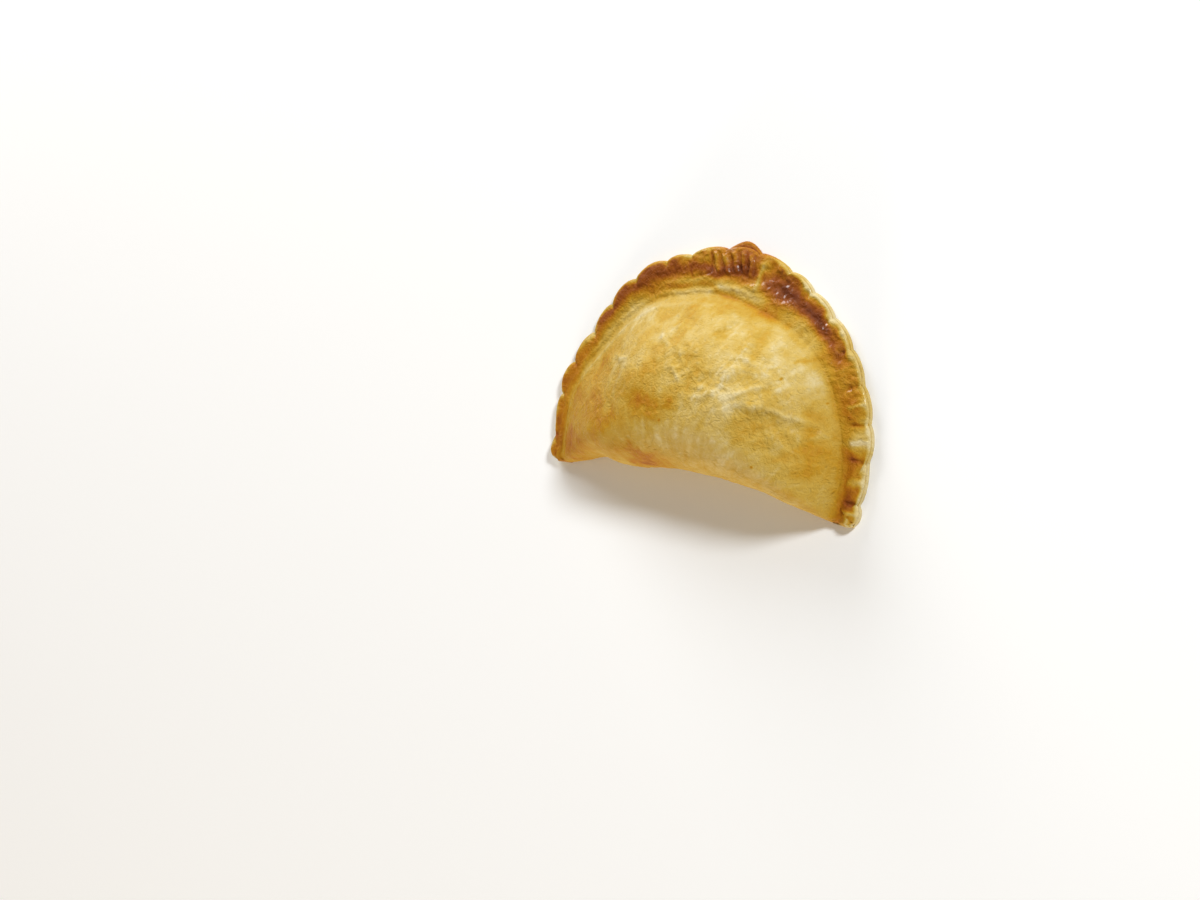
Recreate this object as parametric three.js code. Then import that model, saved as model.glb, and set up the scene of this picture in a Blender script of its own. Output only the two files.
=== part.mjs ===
// A baked empanada: one disc of dough folded over its filling, sealed round the
// curved side by pressing, and lying on its flat base with the domed side up.
//
// The crust is modelled as it is made. A flat disc of points is folded along its
// middle line: the half with v > 0 is the domed upper layer, the half with v < 0
// is the flat lower layer, and the two meet in one seam round the curved rim.
//
// Frame: millimetres, +X along the folded side, +Y towards the middle of the
// curved rim, +Z up. The origin is under the middle of the part, on its base.

import * as THREE from 'three';
import { mergeVertices } from 'three/addons/utils/BufferGeometryUtils.js';

const { smoothstep, lerp, clamp, radToDeg } = THREE.MathUtils;

// ---- driving dimensions: mm, and degrees round the rim from the right corner ----

// Outline, measured from the middle of the line between the two corners.
const HALF_LENGTH = 70.4; // to a corner
const RIM_REACH = 89.6; // to the middle of the curved rim
const OUTLINE_POWER = 2.235; // 2 is an ellipse, more is squarer
const RIGHT_CORNER = { cut: 9.0, reach: 0.1 }; // reach in radians
const LEFT_CORNER = { cut: 8.5, reach: 0.13 };
const CUT_FADE = 6; // how fast a corner's cut fades towards the middle

// The trimmed outline is a little uneven.
const OUTLINE_SWINGS = [
  { angle: 4, width: 8, out: -1.4 },
  { angle: 13, width: 8, out: -0.8 },
  { angle: 25, width: 12, out: 1.2 },
  { angle: 64, width: 13, out: -1.5 },
  { angle: 86, width: 6, out: 0.9 },
  { angle: 105, width: 6, out: -1.4 },
  { angle: 137, width: 7, out: -0.8 },
  { angle: 156, width: 9, out: 2.2 },
  { angle: 172, width: 6, out: -0.4 },
];

// Folded side: a soft crescent, its line measured from the line between the corners.
const FOLD_DIP = 6.4; // how far its middle lies inside the corner line
const FOLD_CROSSING = 62.0; // where it meets the corner line
const FOLD_SWINGS = [
  { x: -60, width: 7, out: -0.8 },
  { x: -42, width: 7, out: 1.3 },
  { x: -27, width: 9, out: -1.3 },
  { x: -14, width: 8, out: -0.9 },
  { x: 57, width: 20, out: -2.3 },
];
const FOLD_BOW = 12.0; // depth over which a layer turns out of the fold
const FOLD_HEIGHT = 11.0; // height of the fold line at the middle
const FOLD_UPPER_ROUND = 18.0;
const FOLD_LOWER_ROUND = 7.5;
const END_ROUND = 1.8; // what is left of both at a corner
const FOLD_LOWERS = { from: 0.1, to: 0.9 }; // shares of the half length
const ROUND_SHRINKS = { from: 0.2, to: 1.0 };

// Pressed rim.
const SEAM_HEIGHT = 2.0; // thickness of the lower layer
const RIM_HEIGHT = 3.5; // thickness of both layers together, at the edge
const EDGE_RADIUS = 1.1; // rounding of each layer's cut edge
const CREVICE = { from: 0.02, to: 0.12 }; // radians from a corner over which it opens
const BAND_WIDTH = 7.2; // from the edge to the first groove
const BAND_EXTRAS = [
  { angle: 84, width: 24, out: 8.6 },
  { angle: 118, width: 14, out: 1.2 },
];
const BAND_LESS_AT_LEFT = 4.0;
const PILLOW = { height: 1.0, middle: 3.7, spread: 3.1 };
const PILLOW_DIPS = [{ angle: 66, width: 34, out: -0.7 }];
const GROOVE_DEPTH = 0.25;
const GROOVE_WIDTH = 1.3;
const RIDGE_GAP = 3.6; // between the first and the second groove
const SECOND_GROOVE_DEPTH = 0.2;
const LEFT = { from: 122, to: 152 }; // the stretch over which the rim narrows to the left
const NARROWER_AT_LEFT = 0.22;

// The rim climbs a little towards the dome, most on its upper right.
const RIM_RISE = 0.4;
const RIM_RISES = [{ angle: 66, width: 32, out: 2.9 }];
const RISE_FROM = 3.0; // from the edge
const RISE_PAST_BAND = 2.5;

// Scallops left by the presses: places where two presses meet, along the rim from
// the right corner, about 14 mm apart and closer at the corners.
const PRESS_MARKS = [
  0, 5.5, 12.3, 21.5, 35.5, 50.0, 64.1, 78.0, 91.0, 103.4, 118.6,
  133.2, 149.2, 160.5, 176.0, 190.4, 203.5, 218.4, 232.2, 246.0, 253.5,
];
const SCALLOP_DEPTH = 1.7;
const SCALLOP_DEEPER_AT_LEFT = 0.7;
const SCALLOP_LEVEL = 0.75; // share of the depth that lies inside the outline
const SCALLOP_FADE = 9.0;
const PRESS_DENT = 0.4;
const PRESS_DENT_WIDTH = 1.6;
const PRESS_DENT_REACH = { from: 2.5, to: 5.0 };
const LIP = { place: 125.5, reach: 2.1, width: 5.5, from: 1.2 }; // the lower layer peeps out

// Dome over the filling.
const DOME_HEIGHT = 32.0;
const DOME_RUN_OUT = 43.0; // from its foot to the crown, towards the middle of the rim
const DOME_RUN_RIGHT = 37.0; // and towards a corner
const DOME_RUN_LEFT = 52.0;
const DOME_FULLNESS = 2.3;
const DOME_FOOT_SOFT = 1.5; // how softly the dome rises out of the rim
const DOME_SHOULDER_RIGHT = 0.78; // under 1 is a steep foot, over 1 a gentle one
const DOME_SHOULDER_LEFT = 1.12;
const DOME_SOFTENS = { from: 65, to: 140 };
const DOME_FALL_RIGHT = 0.25; // share of the height that is lost at a corner
const DOME_FALL_LEFT = 0.36;

// Gentle swells where the filling lies unevenly.
const SWELLS = [
  { x: 14, y: 34, spread: 15, height: 0.7 },
  { x: -22, y: 40, spread: 13, height: 0.5 },
  { x: 38, y: 26, spread: 12, height: -0.8 },
  { x: -44, y: 20, spread: 12, height: -0.7 },
];

// Mesh.
const GRID = 66; // cells along each side of the sheet
const EDGE_RINGS = 3; // rings of points round each cut edge
const CROWDING = 0.6; // 1 spaces the other rings evenly, less crowds them at the rim
const OUTLINE_STEPS = 2000;
const NEARLY_ONE = 0.99999;
const TINY = 1e-6;
const MERGE_DISTANCE = 1e-4;

const CRUST_COLOUR = 0xcfa251;
const CRUST_ROUGHNESS = 0.5;

// ---- helpers ----

const bell = (distance, width) => Math.exp(-((distance / width) ** 2));

const fromRim = (value, reach) => clamp(1 - value / reach, 0, 1);

const between = (value, span) => smoothstep(value, span.from, span.to);

const swings = (value, list, place) =>
  list.reduce((sum, swing) => sum + swing.out * bell(value - swing[place], swing.width), 0);

// ---- outline ----

function rimRadius(phi) {
  const across = Math.abs(Math.cos(phi)) / HALF_LENGTH;
  const out = Math.abs(Math.sin(phi)) / RIM_REACH;
  const round = (across ** OUTLINE_POWER + out ** OUTLINE_POWER) ** (-1 / OUTLINE_POWER);
  return round + swings(radToDeg(phi), OUTLINE_SWINGS, 'angle');
}

function cornerCut(phi) {
  const right = RIGHT_CORNER.cut * fromRim(phi, RIGHT_CORNER.reach) ** 2;
  const left = LEFT_CORNER.cut * fromRim(Math.PI - phi, LEFT_CORNER.reach) ** 2;
  return right + left;
}

function outlinePoint(phi) {
  const radius = rimRadius(phi);
  return new THREE.Vector2(radius * Math.cos(phi), radius * Math.sin(phi));
}

// Length along the rim from the right corner, one entry for each small step.
function rimLengths() {
  const lengths = [0];
  const step = Math.PI / OUTLINE_STEPS;
  for (let i = 1; i <= OUTLINE_STEPS; i += 1) {
    const passed = outlinePoint(i * step).distanceTo(outlinePoint((i - 1) * step));
    lengths.push(lengths[i - 1] + passed);
  }
  return lengths;
}

const RIM_LENGTHS = rimLengths();

function alongRim(phi) {
  const step = (phi / Math.PI) * OUTLINE_STEPS;
  const below = Math.min(Math.floor(step), OUTLINE_STEPS - 1);
  return lerp(RIM_LENGTHS[below], RIM_LENGTHS[below + 1], step - below);
}

// 0 on the right and in the middle of the rim, 1 at its left end.
const leftness = (phi) => between(radToDeg(phi), LEFT);

// ---- presses ----

const ALL_MARKS = [...PRESS_MARKS, RIM_LENGTHS[OUTLINE_STEPS]];

// Where a place on the rim lies in its press: 0 and 1 at the marks on its sides.
function pressAt(along) {
  let i = 0;
  while (i < ALL_MARKS.length - 2 && along > ALL_MARKS[i + 1]) {
    i += 1;
  }
  const width = ALL_MARKS[i + 1] - ALL_MARKS[i];
  const share = clamp((along - ALL_MARKS[i]) / width, 0, 1);
  return {
    stands: Math.max(Math.sin(Math.PI * share), 0),
    toMark: Math.min(share, 1 - share) * width,
  };
}

// How far the rim's edge stands out at a press, or in at a mark.
function scallop(phi, press) {
  const depth = SCALLOP_DEPTH + SCALLOP_DEEPER_AT_LEFT * leftness(phi);
  return depth * (Math.sqrt(press.stands) - SCALLOP_LEVEL);
}

// ---- folded side ----

const foldLine = (x) => FOLD_DIP * (1 - (x / FOLD_CROSSING) ** 2) + swings(x, FOLD_SWINGS, 'x');

const foldHeight = (x) => lerp(FOLD_HEIGHT, SEAM_HEIGHT, between(Math.abs(x) / HALF_LENGTH, FOLD_LOWERS));

// How far a layer has turned out of the fold: 0 on the fold, 1 past its rounding.
function turnedOut(run, x, middleRound) {
  const end = between(Math.abs(x) / HALF_LENGTH, ROUND_SHRINKS);
  const round = lerp(middleRound, END_ROUND, end);
  return Math.sqrt(1 - fromRim(run, round) ** 2);
}

const bowed = (run) => Math.hypot(run, FOLD_BOW) - FOLD_BOW;

function rimReachAt(x) {
  const share = Math.min(Math.abs(x) / HALF_LENGTH, NEARLY_ONE);
  return RIM_REACH * (1 - share ** OUTLINE_POWER) ** (1 / OUTLINE_POWER);
}

// Where a point of the flat disc comes to lie, seen from above.
function laid(flatX, flatY) {
  const rimY = Math.max(rimReachAt(flatX), flatY, TINY);
  const fold = foldLine(flatX);
  const share = bowed(flatY) / bowed(rimY);
  return new THREE.Vector2(flatX, lerp(fold, rimY, share));
}

// ---- section from the rim to the crown, by the distance from the edge ----

function bandWidth(phi) {
  const extra = swings(radToDeg(phi), BAND_EXTRAS, 'angle');
  return BAND_WIDTH + extra - BAND_LESS_AT_LEFT * leftness(phi);
}

const ridgeGap = (phi) => RIDGE_GAP * (1 - NARROWER_AT_LEFT * leftness(phi));

const rimRise = (phi) => RIM_RISE + swings(radToDeg(phi), RIM_RISES, 'angle');

function rimTop(inward, phi, press) {
  const band = bandWidth(phi);
  const pillowHeight = PILLOW.height + swings(radToDeg(phi), PILLOW_DIPS, 'angle');
  const pillow = pillowHeight * bell(inward - PILLOW.middle, PILLOW.spread);
  const dentFades = 1 - between(inward, PRESS_DENT_REACH);
  const dent = PRESS_DENT * bell(press.toMark, PRESS_DENT_WIDTH) * dentFades;
  const groove = GROOVE_DEPTH * bell(inward - band, GROOVE_WIDTH);
  const second = SECOND_GROOVE_DEPTH * bell(inward - band - ridgeGap(phi), GROOVE_WIDTH);
  const rise = rimRise(phi) * smoothstep(inward, RISE_FROM, band + RISE_PAST_BAND);
  return RIM_HEIGHT + pillow + rise - dent - groove - second;
}

function domeRise(inward, x, phi) {
  const soft = between(radToDeg(phi), DOME_SOFTENS);
  const runAlong = lerp(DOME_RUN_RIGHT, DOME_RUN_LEFT, soft);
  const run = lerp(runAlong, DOME_RUN_OUT, Math.sin(phi) ** 2);
  const foot = bandWidth(phi) + ridgeGap(phi);
  const passed = clamp((inward - foot + DOME_FOOT_SOFT) / run, 0, 1);
  const climbed = passed ** 2 / (passed + DOME_FOOT_SOFT / run);
  const shoulder = lerp(DOME_SHOULDER_RIGHT, DOME_SHOULDER_LEFT, soft);
  const profile = (1 - (1 - climbed) ** DOME_FULLNESS) ** shoulder;
  const fall = x > 0 ? DOME_FALL_RIGHT : DOME_FALL_LEFT;
  const over = DOME_HEIGHT - RIM_HEIGHT - rimRise(phi);
  return over * profile * (1 - fall * (x / HALF_LENGTH) ** 2);
}

function swell(x, y) {
  let height = 0;
  for (const part of SWELLS) {
    height += part.height * bell(Math.hypot(x - part.x, y - part.y), part.spread);
  }
  return height;
}

// The cut edge of a layer, from the seam (0) round to its flat side (1). Between
// the corners a crevice runs along the seam, and at the corners it closes.
function edgeSection(turn, phi) {
  const open = between(phi, CREVICE) * between(Math.PI - phi, CREVICE);
  const quarter = (turn * Math.PI) / 2;
  const half = turn * Math.PI;
  const inward = EDGE_RADIUS * lerp(1 - Math.cos(quarter), 1 - Math.sin(half), open);
  const height = lerp(Math.sin(quarter), (1 - Math.cos(half)) / 2, open);
  return { inward, height };
}

// ---- the folded sheet ----

const EDGE_RUN = Math.PI * EDGE_RADIUS;

// Distance from the seam over the surface, by the share of the rings passed.
function runFromSeam(passed, reach) {
  const edgeShare = EDGE_RINGS / (GRID / 2);
  if (passed < edgeShare) {
    return (EDGE_RUN * passed) / edgeShare;
  }
  const share = (passed - edgeShare) / (1 - edgeShare);
  return EDGE_RUN + reach * (CROWDING * share + (1 - CROWDING) * share ** 2);
}

// The square sheet's rings become the disc's: the angle round from the right corner.
function discAngle(u, v) {
  const wedge = Math.PI / 4;
  const side = Math.abs(v);
  if (Math.abs(u) < side) {
    return Math.PI / 2 - wedge * (u / side);
  }
  const turned = wedge * (side / Math.max(Math.abs(u), TINY));
  return u >= 0 ? turned : Math.PI - turned;
}

function crustHeight(upper, inward, phi, flat, spot, press) {
  const start = foldHeight(flat.x);
  const turn = bowed(flat.y);
  if (!upper) {
    return lerp(start, 0, turnedOut(turn, flat.x, FOLD_LOWER_ROUND));
  }
  const dome = domeRise(inward, flat.x, phi);
  const uneven = swell(spot.x, spot.y) * smoothstep(dome, 0, DOME_HEIGHT / 2);
  const high = rimTop(inward, phi, press) + dome + uneven;
  return lerp(start, high, turnedOut(turn, flat.x, FOLD_UPPER_ROUND));
}

function crustPoint(u, v) {
  const upper = v >= 0;
  const phi = discAngle(u, v);
  const radius = rimRadius(phi);
  const run = runFromSeam(1 - Math.max(Math.abs(u), Math.abs(v)), radius - EDGE_RADIUS);
  const onEdge = run < EDGE_RUN;
  const edge = edgeSection(clamp(run / EDGE_RUN, 0, 1), phi);
  const inward = onEdge ? edge.inward : EDGE_RADIUS + run - EDGE_RUN;
  const out = Math.max(1 - inward / radius, 0);
  const reach = out * (radius - cornerCut(phi) * out ** CUT_FADE);
  const flat = new THREE.Vector2(reach * Math.cos(phi), reach * Math.sin(phi));
  const spot = laid(flat.x, flat.y);

  // scallops, and the lower layer where it peeps out
  const along = alongRim(phi);
  const press = pressAt(along);
  const lip = upper ? 0 : LIP.reach * bell(along - LIP.place, LIP.width) * smoothstep(run, 0, LIP.from);
  const push = (scallop(phi, press) + lip) * (1 - smoothstep(inward, 0, SCALLOP_FADE));
  spot.x += push * Math.cos(phi);
  spot.y += push * Math.sin(phi);

  const height = crustHeight(upper, inward, phi, flat, spot, press);
  return new THREE.Vector3(spot.x, spot.y, lerp(SEAM_HEIGHT, height, onEdge ? edge.height : 1));
}

function foldedSheet() {
  const sheet = new THREE.PlaneGeometry(2, 2, GRID, GRID);
  const points = sheet.getAttribute('position');
  for (let i = 0; i < points.count; i += 1) {
    const point = crustPoint(points.getX(i), points.getY(i));
    points.setXYZ(i, point.x, point.y, point.z);
  }
  sheet.deleteAttribute('normal');
  sheet.deleteAttribute('uv');
  return mergeVertices(sheet, MERGE_DISTANCE);
}

// The origin goes under the middle of the part's box.
function centred(geometry) {
  geometry.computeBoundingBox();
  const { min, max } = geometry.boundingBox;
  geometry.translate(-(min.x + max.x) / 2, -(min.y + max.y) / 2, -min.z);
  geometry.computeVertexNormals();
  return geometry;
}

const crust = new THREE.MeshStandardMaterial({
  color: CRUST_COLOUR,
  roughness: CRUST_ROUGHNESS,
  metalness: 0,
});

const empanada = new THREE.Mesh(centred(foldedSheet()), crust);
empanada.name = 'empanada';

const model = new THREE.Group();
model.add(empanada);

export default model;
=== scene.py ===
import math

import bmesh
import bpy
from mathutils import Matrix, Vector, noise
from mathutils.kdtree import KDTree


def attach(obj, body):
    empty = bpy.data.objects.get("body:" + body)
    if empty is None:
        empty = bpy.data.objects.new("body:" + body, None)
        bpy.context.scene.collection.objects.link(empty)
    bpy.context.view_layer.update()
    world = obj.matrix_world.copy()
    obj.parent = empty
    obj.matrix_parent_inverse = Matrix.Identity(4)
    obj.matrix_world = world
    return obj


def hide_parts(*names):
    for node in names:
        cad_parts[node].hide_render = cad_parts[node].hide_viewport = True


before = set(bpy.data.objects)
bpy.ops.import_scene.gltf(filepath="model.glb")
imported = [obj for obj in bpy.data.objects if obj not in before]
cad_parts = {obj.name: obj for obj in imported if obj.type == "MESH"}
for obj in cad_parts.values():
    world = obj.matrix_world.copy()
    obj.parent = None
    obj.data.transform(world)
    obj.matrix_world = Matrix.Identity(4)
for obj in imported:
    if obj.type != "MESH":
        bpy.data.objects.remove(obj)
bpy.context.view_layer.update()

# ---------------------------------------------------------------- crust, the sheet of dough
# The whole pastry is one disc of short dough, folded over its filling and sealed round the
# curved side by pressing, so it is modelled as one sheet: a square grid is drawn into a
# disc, its upper half becomes the dome and its lower half the flat base.

mm = 0.001

half_length = 70.4 * mm
rim_reach = 89.6 * mm
outline_power = 2.235
right_corner_cut = 9.0 * mm
left_corner_cut = 8.5 * mm
right_corner_reach = 0.10  # radians
left_corner_reach = 0.13
cut_fade = 6

# The trimmed outline is a little uneven: where, how wide (degrees) and how far out.
outline_swings = (
    (4.0, 8.0, -1.4 * mm), (13.0, 8.0, -0.8 * mm), (25.0, 12.0, 1.2 * mm), (64.0, 13.0, -1.5 * mm),
    (86.0, 6.0, 0.9 * mm), (105.0, 6.0, -1.4 * mm), (137.0, 7.0, -0.8 * mm), (156.0, 9.0, 2.2 * mm),
    (172.0, 6.0, -0.4 * mm),
)


def smooth(value, low, high):
    share = min(max((value - low) / (high - low), 0.0), 1.0)
    return share * share * (3.0 - 2.0 * share)


def mix(a, b, share):
    return a + (b - a) * share


def bell(distance, width):
    return math.exp(-((distance / width) ** 2))


def left_of(value, reach):
    """What is left of 1 once this much of the reach is passed."""
    return min(max(1.0 - value / reach, 0.0), 1.0)


def rim_radius(phi):
    across = abs(math.cos(phi)) / half_length
    out = abs(math.sin(phi)) / rim_reach
    outline = (across ** outline_power + out ** outline_power) ** (-1.0 / outline_power)
    degrees = math.degrees(phi)
    return outline + sum(out * bell(degrees - at, wide) for at, wide, out in outline_swings)


def corner_cut(phi):
    right = right_corner_cut * left_of(phi, right_corner_reach) ** 2
    left = left_corner_cut * left_of(math.pi - phi, left_corner_reach) ** 2
    return right + left


outline_steps = 2000
rim_lengths = [0.0]
last = Vector((rim_radius(0.0), 0.0))
for step in range(1, outline_steps + 1):
    phi = math.pi * step / outline_steps
    point = Vector((math.cos(phi), math.sin(phi))) * rim_radius(phi)
    rim_lengths.append(rim_lengths[-1] + (point - last).length)
    last = point
rim_length = rim_lengths[-1]


def along_rim(phi):
    step = phi / math.pi * outline_steps
    below = min(int(step), outline_steps - 1)
    return mix(rim_lengths[below], rim_lengths[below + 1], step - below)


# Where two presses meet, in mm along the rim from the right corner: about 14 mm apart, closer
# at the two corners and beside the crimps.
press_places = (
    0.0, 5.5, 12.3, 21.5, 35.5, 50.0, 64.1, 78.0, 91.0, 103.4, 118.6, 133.2,
    149.2, 160.5, 176.0, 190.4, 203.5, 218.4, 232.2, 246.0, 253.5,
)
press_marks = [place * mm for place in press_places] + [rim_length]


def press_at(along):
    """The share of its press that is passed, and the width of that press."""
    number = 0
    while number < len(press_marks) - 2 and along > press_marks[number + 1]:
        number += 1
    width = press_marks[number + 1] - press_marks[number]
    return min(max((along - press_marks[number]) / width, 0.0), 1.0), width


# The folded side: a soft crescent that stands up in a round bulge. Towards the corners, by
# shares of the half length, the bulge gets lower and its rounding smaller.
fold_dip = 6.4 * mm
fold_crossing = 62.0 * mm
fold_swings = (
    (-60.0 * mm, 7.0 * mm, -0.8 * mm), (-42.0 * mm, 7.0 * mm, 1.3 * mm), (-27.0 * mm, 9.0 * mm, -1.3 * mm),
    (-14.0 * mm, 8.0 * mm, -0.9 * mm), (57.0 * mm, 20.0 * mm, -2.3 * mm),
)
fold_bow = 12.0 * mm
fold_height = 11.0 * mm
fold_upper_round = 18.0 * mm
fold_lower_round = 7.5 * mm
end_round = 1.8 * mm
seam_height = 2.0 * mm
fold_lowers = (0.1, 0.9)
rounding_shrinks = (0.2, 1.0)


def fold_line(x):
    line = fold_dip * (1.0 - (x / fold_crossing) ** 2)
    return line + sum(out * bell(x - at, wide) for at, wide, out in fold_swings)


def turned_out(run, x, middle_round):
    """How far a layer has turned out of the fold: 0 on the fold, 1 past its rounding."""
    end = smooth(abs(x) / half_length, *rounding_shrinks)
    return math.sqrt(1.0 - left_of(run, mix(middle_round, end_round, end)) ** 2)


def bowed(run):
    return math.hypot(run, fold_bow) - fold_bow


def rim_reach_at(x):
    share = min(abs(x) / half_length, 0.99999)
    return rim_reach * (1.0 - share ** outline_power) ** (1.0 / outline_power)


def laid(flat_x, flat_y):
    """Where a point of the flat disc comes to lie, seen from above."""
    rim_y = max(rim_reach_at(flat_x), flat_y, 1e-9)
    fold = fold_line(flat_x)
    return Vector((flat_x, fold + (rim_y - fold) * bowed(flat_y) / bowed(rim_y), 0.0))


rim_tree = KDTree(outline_steps + 1)
for step in range(outline_steps + 1):
    phi = math.pi * step / outline_steps
    reach = rim_radius(phi) - corner_cut(phi)
    rim_tree.insert(laid(reach * math.cos(phi), reach * math.sin(phi)), step)
rim_tree.balance()


# The section from the rim to the crown, by the distance in from the edge.
rim_height = 3.5 * mm
pillow_middle = 3.7 * mm
pillow_spread = 3.1 * mm
lobe_fullness = 0.6  # under 1 makes each press a full lobe
stamped_lobe = 0.35  # how high the pillow stands under the crimps, as a share
band_width = 7.2 * mm
band_wander = 0.4 * mm
band_wander_length = 14.0 * mm
band_less_at_left = 4.0 * mm
groove_width = 1.1 * mm
ridge_gap = 3.6 * mm
fine_ridge_gap = 6.3 * mm
fine_ridge_width = 0.75 * mm
ridge_width = 1.3 * fine_ridge_width
rise_from = 3.0 * mm
rise_past_band = 2.5 * mm
narrower_at_left = 0.22
dome_height = 32.0 * mm
dome_run_out = 43.0 * mm
dome_run_right = 37.0 * mm
dome_run_left = 52.0 * mm
dome_fullness = 2.3
dome_foot_soft = 1.5 * mm
dome_shoulder_right = 0.78
dome_shoulder_left = 1.12
dome_fall_right = 0.25
dome_fall_left = 0.36

# Degrees round the rim: where the band is wider (place, width, how much), and over which
# stretch the rim narrows and the dome softens towards the left.
band_extras = ((84.0, 24.0, 8.6 * mm), (118.0, 14.0, 1.2 * mm))
rim_narrows = (122.0, 152.0)
dome_softens = (65.0, 140.0)

# How the pressing changes along the rim, from the right corner round to the left one, as
# pairs of a place along it and a value there, in mm: how deep the grooves and high the ridges
# are, how far past the band the ridge lies, how deep the mark between two presses is and how
# far in it reaches, how high the rib in each press and the pillow are, how deep the scallops,
# how far the lower layer peeps out, and how far the rim climbs to the dome. Two are shares:
# "bumps", of the rim's lumps, and "lobed", how far each press is a pillow of its own.
rim_forms = {
    "first_groove": ((0, 0.28), (60, 0.08), (118, 0.05), (136, 0.20), (167, 0.14), (200, 0.12), (257, 0.22)),
    "second_groove": ((0, 0.15), (60, 0.00), (136, 0.00), (167, 0.10), (257, 0.20)),
    "ridge": (
        (0, 0.10), (60, 0.00), (108, 0.10), (122, 0.40), (150, 0.45), (172, 0.30), (200, 0.20), (257, 0.25),
    ),
    "ridge_at": ((0, 1.8), (98, 0.0), (112, -1.0), (124, -1.0), (131, -0.4), (142, 1.7), (257, 1.8)),
    "fine_ridge": ((0, 0.00), (60, 0.05), (105, 0.12), (136, 0.30), (167, 0.35), (257, 0.30)),
    "mark_depth": ((0, 0.50), (41, 0.42), (60, 0.32), (105, 0.26), (136, 0.24), (218, 0.42), (257, 0.50)),
    "mark_reach": ((0, 7.5), (41, 7.0), (60, 4.5), (105, 3.0), (136, 2.6), (218, 3.0), (257, 3.6)),
    "rib": ((0, 0.35), (41, 0.30), (60, 0.08), (105, 0.00), (218, 0.00), (257, 0.10)),
    "bumps": ((0, 0.36), (41, 0.42), (60, 0.80), (105, 0.90), (136, 0.62), (167, 0.42), (257, 0.30)),
    "lobed": ((0, 0.60), (41, 0.55), (60, 0.45), (136, 0.30), (218, 0.45), (257, 0.50)),
    "scallop": ((0, 1.7), (60, 1.4), (105, 1.6), (136, 1.8), (167, 2.2), (218, 2.5), (257, 2.2)),
    "pillow": (
        (0, 1.00), (41, 0.85), (60, 0.55), (82, 0.28), (105, 0.30), (136, 0.55), (167, 0.85), (257, 1.00),
    ),
    "lower_out": ((0, 0.0), (15, 0.4), (95, 0.5), (112, 0.2), (257, 0.2)),
    "rise": ((0, 0.8), (46, 1.7), (70, 3.2), (112, 3.0), (132, 2.0), (152, 1.0), (172, 0.5), (257, 0.4)),
}


def level(along, stops):
    """The value at this place, mixed smoothly from the stops on its two sides."""
    number = 1
    while number < len(stops) - 1 and along > stops[number][0]:
        number += 1
    (start, low), (end, high) = stops[number - 1], stops[number]
    return mix(low, high, smooth(along, start, end))


def all_levels(profiles):
    """The values of all profiles at every step of the rim."""
    return [{name: level(length / mm, profiles[name]) for name in profiles} for length in rim_lengths]


forms_at = all_levels(rim_forms)


def leftness(phi):
    """0 on the right and in the middle of the rim, 1 at its left end."""
    return smooth(math.degrees(phi), *rim_narrows)


def band_at(phi, along):
    """Width of the pressed band, from the edge to its first groove."""
    degrees = math.degrees(phi)
    extra = sum(more * bell(degrees - at, wide) for at, wide, more in band_extras)
    wander = band_wander * noise.noise(Vector((along / band_wander_length, 4.0, 0.0)))
    return band_width + extra - band_less_at_left * leftness(phi) + wander


def rim_top(inward, band, gap, share, stamped, form):
    """Height of the rim: pillow, grooves and ridges, all closer together where gap is under 1."""
    lobe = max(math.sin(math.pi * share), 0.0) ** lobe_fullness
    pillow = form["pillow"] * mix(1.0, mix(lobe, stamped_lobe, stamped), form["lobed"])
    pillow *= bell(inward - gap * pillow_middle, gap * pillow_spread)
    past = inward - band
    grooves = form["first_groove"] * bell(past, gap * groove_width)
    grooves += form["second_groove"] * bell(past - gap * ridge_gap, gap * groove_width)
    ridges = form["ridge"] * bell(past - gap * form["ridge_at"] * mm, gap * ridge_width)
    ridges += form["fine_ridge"] * bell(past - gap * fine_ridge_gap, gap * fine_ridge_width)
    rise = form["rise"] * smooth(inward, rise_from, band + rise_past_band)
    return rim_height + (pillow - grooves + ridges + rise) * mm


def dome_rise(inward, band, gap, x, phi, rise):
    """How far the dome stands over the risen rim: steep on the right, gentle on the left."""
    soft = smooth(math.degrees(phi), *dome_softens)
    run = mix(mix(dome_run_right, dome_run_left, soft), dome_run_out, math.sin(phi) ** 2)
    passed = min(max((inward - band - gap * ridge_gap + dome_foot_soft) / run, 0.0), 1.0)
    climbed = passed ** 2 / (passed + dome_foot_soft / run)
    shoulder = mix(dome_shoulder_right, dome_shoulder_left, soft)
    profile = (1.0 - (1.0 - climbed) ** dome_fullness) ** shoulder
    fall = dome_fall_right if x > 0.0 else dome_fall_left
    return (dome_height - rim_height - rise) * profile * (1.0 - fall * (x / half_length) ** 2)


# Gentle swells where the filling lies unevenly: place, spread and height.
swells = (
    (14.0 * mm, 34.0 * mm, 15.0 * mm, 0.7 * mm),
    (-22.0 * mm, 40.0 * mm, 13.0 * mm, 0.5 * mm),
    (38.0 * mm, 26.0 * mm, 12.0 * mm, -0.8 * mm),
    (-44.0 * mm, 20.0 * mm, 12.0 * mm, -0.7 * mm),
)


def swell(x, y):
    return sum(h * bell(math.hypot(x - sx, y - sy), spread) for sx, sy, spread, h in swells)


# The cut edges: each layer ends in its own round edge, with a crevice between the two.
edge_radius = 1.1 * mm
edge_run = math.pi * edge_radius
columns = 396
upper_rows = columns // 2
lower_rows = 46
edge_rings = 12
crowding = 0.65
pressed_within = 22.0 * mm
crevice_opens = (0.02, 0.12)  # radians from a corner
scallop_level = 0.75  # the share of a scallop that lies inside the outline
scallop_fade = 9.0 * mm

# The lower layer peeps out in a small lip at the middle of the rim.
lip_place = 125.5 * mm
lip_reach = 2.1 * mm
lip_width = 5.5 * mm
lower_out_from = 1.2 * mm

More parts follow.
